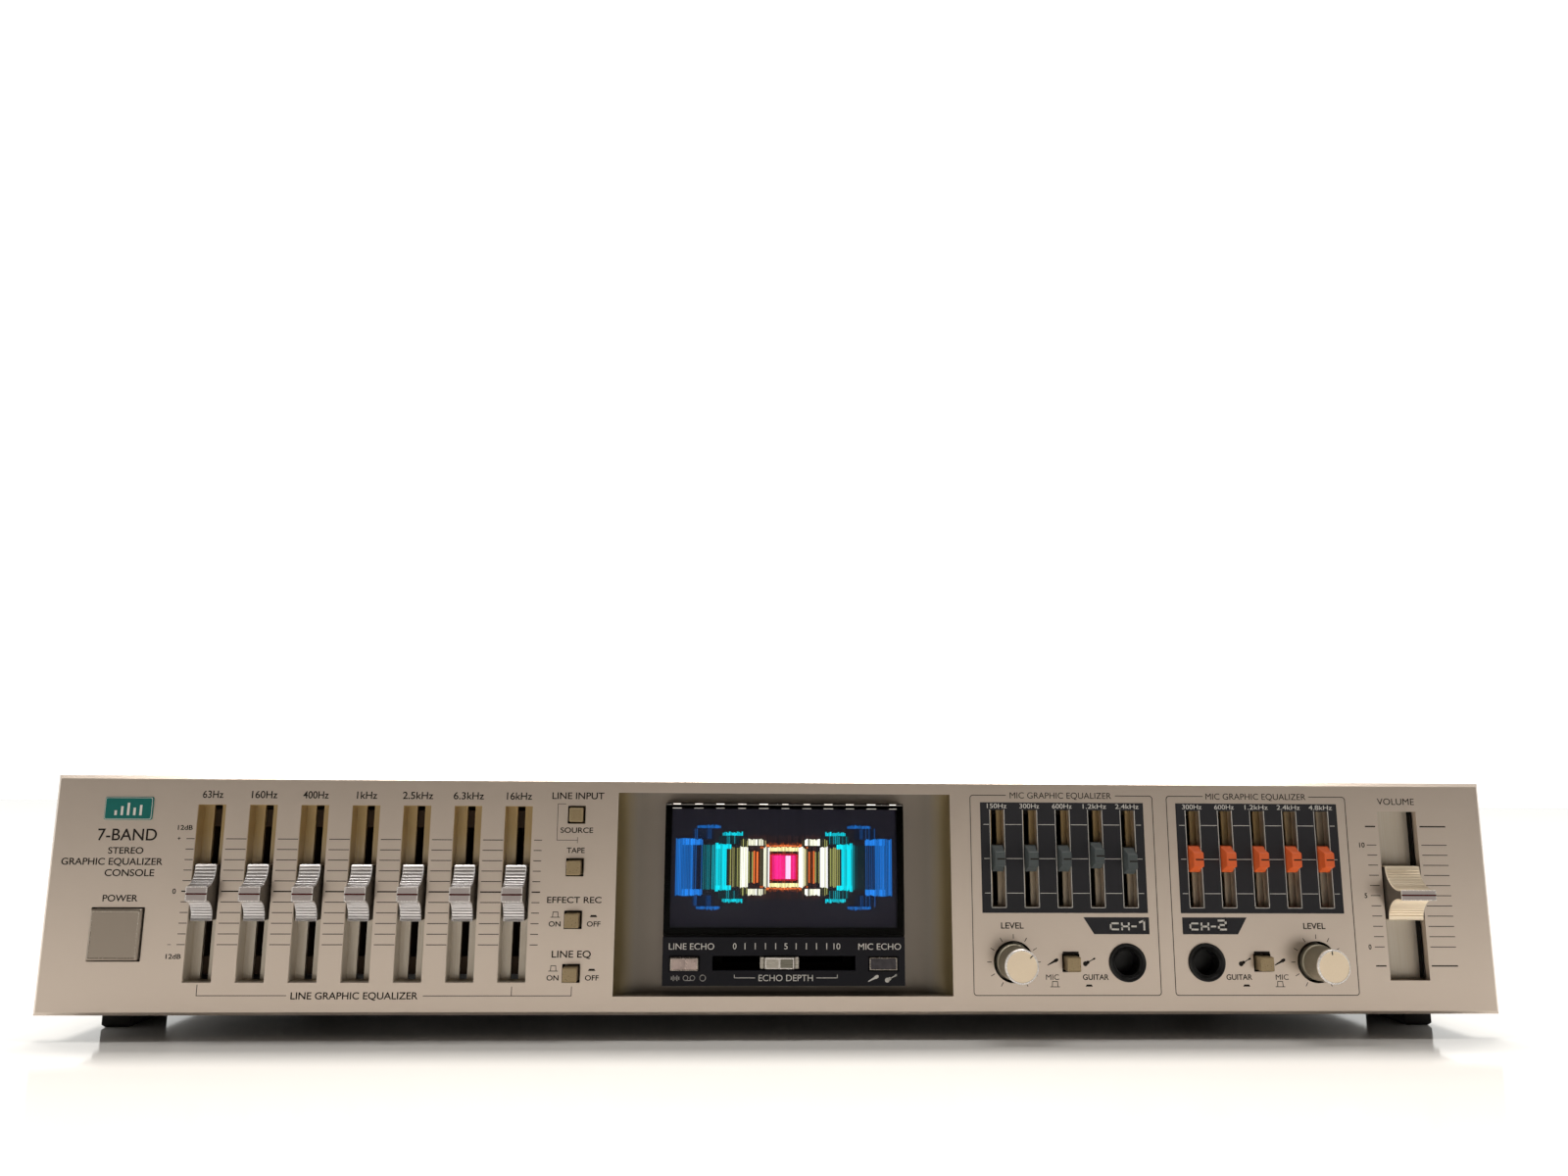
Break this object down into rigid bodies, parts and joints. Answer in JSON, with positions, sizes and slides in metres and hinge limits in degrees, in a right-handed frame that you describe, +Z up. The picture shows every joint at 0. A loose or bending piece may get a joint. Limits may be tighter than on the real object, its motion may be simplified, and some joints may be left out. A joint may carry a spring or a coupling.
{
  "type": "graphic equalizer",
  "caption": "Low wide hi-fi graphic equalizer with slider banks, lit display, echo controls, level knobs, jacks and a volume slider.",
  "frame": {"origin": "centre of the bounding box at the bottoms of the feet", "axes": "+X to the right seen from the front, +Y to the back, +Z up"},
  "size_m": [0.43, 0.26, 0.075],
  "materials": {
    "panel_aluminium": "champagne anodised, fine brushed",
    "plated_steel": "zinc plated sheet",
    "badge": "satin teal",
    "surround": "champagne, satin",
    "black_moulding": "fine grain",
    "smoked_acrylic": "smoked, polished",
    "screen": "patterned light screen",
    "lamp_board": "board with small lamps",
    "fascia": "satin black",
    "cover_paint": "satin grey paint",
    "rear_paint": "satin dark grey paint",
    "pot_case": "plated sheet",
    "switch_body": "moulded",
    "core_iron": "varnished laminations",
    "winding_tape": "yellow tape",
    "board": "phenolic board",
    "components": "mixed small parts",
    "phono_nickel": "nickel plated",
    "rubber_foot": "matt",
    "screw_steel": "black oxide",
    "slider_silver": "turned, fine lines",
    "slider_cream": "champagne, satin",
    "knob_cream": "champagne, turned face",
    "cap_grey_green": "moulded",
    "cap_orange": "moulded",
    "button_beige": "satin plated plastic",
    "button_silver": "bright plated plastic",
    "power_silver": "satin plated plastic"
  },
  "bodies": {
    "chassis": {"front_panel": "panel_aluminium", "inner_plate": "plated_steel", "badge_plate": "badge", "display_surround": "surround", "display_housing": "black_moulding", "display_window": "smoked_acrylic", "display_screen": "screen", "display_lamps": "lamp_board", "echo_fascia": "fascia", "chassis_pan": "plated_steel", "rear_panel": "rear_paint", "top_cover": "cover_paint", "level_pots": "pot_case", "mic_jacks": "black_moulding", "push_switches": "switch_body", "power_switch": "switch_body", "transformer_core": "core_iron", "transformer_winding": "winding_tape", "main_board": "board", "board_parts": "components", "phono_block": "black_moulding", "phono_sockets": "phono_nickel", "mains_gland": "black_moulding", "feet": "rubber_foot", "cover_screws": "screw_steel", "case_screws": "screw_steel", "line_slide_pots": "pot_case", "mic_slide_pots": "pot_case", "volume_slide_pot": "pot_case", "echo_slide_pot": "pot_case"},
    "line_slider_1": {"line_slider_1": "slider_silver"},
    "line_slider_2": {"line_slider_2": "slider_silver"},
    "line_slider_3": {"line_slider_3": "slider_silver"},
    "line_slider_4": {"line_slider_4": "slider_silver"},
    "line_slider_5": {"line_slider_5": "slider_silver"},
    "line_slider_6": {"line_slider_6": "slider_silver"},
    "line_slider_7": {"line_slider_7": "slider_silver"},
    "ch1_slider_1": {"ch1_slider_1": "cap_grey_green"},
    "ch1_slider_2": {"ch1_slider_2": "cap_grey_green"},
    "ch1_slider_3": {"ch1_slider_3": "cap_grey_green"},
    "ch1_slider_4": {"ch1_slider_4": "cap_grey_green"},
    "ch1_slider_5": {"ch1_slider_5": "cap_grey_green"},
    "ch2_slider_1": {"ch2_slider_1": "cap_orange"},
    "ch2_slider_2": {"ch2_slider_2": "cap_orange"},
    "ch2_slider_3": {"ch2_slider_3": "cap_orange"},
    "ch2_slider_4": {"ch2_slider_4": "cap_orange"},
    "ch2_slider_5": {"ch2_slider_5": "cap_orange"},
    "volume_slider": {"volume_slider": "slider_cream"},
    "echo_slider": {"echo_slider": "button_silver"},
    "level_knob_ch1": {"level_knob_ch1": "knob_cream"},
    "level_knob_ch2": {"level_knob_ch2": "knob_cream"},
    "source_button": {"source_button": "button_beige"},
    "tape_button": {"tape_button": "button_beige"},
    "effect_rec_button": {"effect_rec_button": "button_beige"},
    "line_eq_button": {"line_eq_button": "button_beige"},
    "mode_button_ch1": {"mode_button_ch1": "button_beige"},
    "mode_button_ch2": {"mode_button_ch2": "button_beige"},
    "line_echo_button": {"line_echo_button": "button_silver"},
    "mic_echo_button": {"mic_echo_button": "button_silver"},
    "power_button": {"power_button": "power_silver"}
  },
  "joints": [
    {"name": "line_slider_1_slide", "type": "slide", "parent": "chassis", "child": "line_slider_1", "axis": [0, 0, 1], "range_m": [-0.015, 0.015]},
    {"name": "line_slider_2_slide", "type": "slide", "parent": "chassis", "child": "line_slider_2", "axis": [0, 0, 1], "range_m": [-0.015, 0.015]},
    {"name": "line_slider_3_slide", "type": "slide", "parent": "chassis", "child": "line_slider_3", "axis": [0, 0, 1], "range_m": [-0.015, 0.015]},
    {"name": "line_slider_4_slide", "type": "slide", "parent": "chassis", "child": "line_slider_4", "axis": [0, 0, 1], "range_m": [-0.015, 0.015]},
    {"name": "line_slider_5_slide", "type": "slide", "parent": "chassis", "child": "line_slider_5", "axis": [0, 0, 1], "range_m": [-0.015, 0.015]},
    {"name": "line_slider_6_slide", "type": "slide", "parent": "chassis", "child": "line_slider_6", "axis": [0, 0, 1], "range_m": [-0.015, 0.015]},
    {"name": "line_slider_7_slide", "type": "slide", "parent": "chassis", "child": "line_slider_7", "axis": [0, 0, 1], "range_m": [-0.015, 0.015]},
    {"name": "ch1_slider_1_slide", "type": "slide", "parent": "chassis", "child": "ch1_slider_1", "axis": [0, 0, 1], "range_m": [-0.01, 0.01]},
    {"name": "ch1_slider_2_slide", "type": "slide", "parent": "chassis", "child": "ch1_slider_2", "axis": [0, 0, 1], "range_m": [-0.01, 0.01]},
    {"name": "ch1_slider_3_slide", "type": "slide", "parent": "chassis", "child": "ch1_slider_3", "axis": [0, 0, 1], "range_m": [-0.01, 0.01]},
    {"name": "ch1_slider_4_slide", "type": "slide", "parent": "chassis", "child": "ch1_slider_4", "axis": [0, 0, 1], "range_m": [-0.01095, 0.00905]},
    {"name": "ch1_slider_5_slide", "type": "slide", "parent": "chassis", "child": "ch1_slider_5", "axis": [0, 0, 1], "range_m": [-0.0094, 0.0106]},
    {"name": "ch2_slider_1_slide", "type": "slide", "parent": "chassis", "child": "ch2_slider_1", "axis": [0, 0, 1], "range_m": [-0.01, 0.01]},
    {"name": "ch2_slider_2_slide", "type": "slide", "parent": "chassis", "child": "ch2_slider_2", "axis": [0, 0, 1], "range_m": [-0.01, 0.01]},
    {"name": "ch2_slider_3_slide", "type": "slide", "parent": "chassis", "child": "ch2_slider_3", "axis": [0, 0, 1], "range_m": [-0.01, 0.01]},
    {"name": "ch2_slider_4_slide", "type": "slide", "parent": "chassis", "child": "ch2_slider_4", "axis": [0, 0, 1], "range_m": [-0.01, 0.01]},
    {"name": "ch2_slider_5_slide", "type": "slide", "parent": "chassis", "child": "ch2_slider_5", "axis": [0, 0, 1], "range_m": [-0.01, 0.01]},
    {"name": "volume_slider_slide", "type": "slide", "parent": "chassis", "child": "volume_slider", "axis": [0, 0, 1], "range_m": [-0.0156, 0.0144]},
    {"name": "echo_slider_slide", "type": "slide", "parent": "chassis", "child": "echo_slider", "axis": [1, 0, 0], "range_m": [-0.0136, 0.0164]},
    {"name": "level_knob_ch1_turn", "type": "hinge", "parent": "chassis", "child": "level_knob_ch1", "pos_m": [0.0683, -0.125, 0.022], "axis": [0, 1, 0], "range_deg": [-195, 105]},
    {"name": "level_knob_ch2_turn", "type": "hinge", "parent": "chassis", "child": "level_knob_ch2", "pos_m": [0.1601, -0.125, 0.022], "axis": [0, 1, 0], "range_deg": [-145, 155]},
    {"name": "source_button_slide", "type": "slide", "parent": "chassis", "child": "source_button", "axis": [0, 1, 0], "range_m": [-0.0021, 0], "stiffness_N_per_m": 200},
    {"name": "tape_button_slide", "type": "slide", "parent": "chassis", "child": "tape_button", "axis": [0, 1, 0], "range_m": [0, 0.0021]},
    {"name": "effect_rec_button_slide", "type": "slide", "parent": "chassis", "child": "effect_rec_button", "axis": [0, 1, 0], "range_m": [0, 0.0021], "stiffness_N_per_m": 200},
    {"name": "line_eq_button_slide", "type": "slide", "parent": "chassis", "child": "line_eq_button", "axis": [0, 1, 0], "range_m": [0, 0.0021], "stiffness_N_per_m": 200},
    {"name": "mode_button_ch1_slide", "type": "slide", "parent": "chassis", "child": "mode_button_ch1", "axis": [0, 1, 0], "range_m": [0, 0.0021], "stiffness_N_per_m": 200},
    {"name": "mode_button_ch2_slide", "type": "slide", "parent": "chassis", "child": "mode_button_ch2", "axis": [0, 1, 0], "range_m": [0, 0.0021], "stiffness_N_per_m": 200},
    {"name": "line_echo_button_slide", "type": "slide", "parent": "chassis", "child": "line_echo_button", "axis": [0, 1, 0], "range_m": [0, 0.0014], "stiffness_N_per_m": 200},
    {"name": "mic_echo_button_slide", "type": "slide", "parent": "chassis", "child": "mic_echo_button", "axis": [0, 1, 0], "range_m": [-0.0014, 0], "stiffness_N_per_m": 200},
    {"name": "power_button_slide", "type": "slide", "parent": "chassis", "child": "power_button", "axis": [0, 1, 0], "range_m": [-0.003, 0.0004], "stiffness_N_per_m": 300}
  ],
  "couplings": [
    {"joint": "tape_button_slide", "follows": "source_button_slide", "ratio": -1}
  ]
}
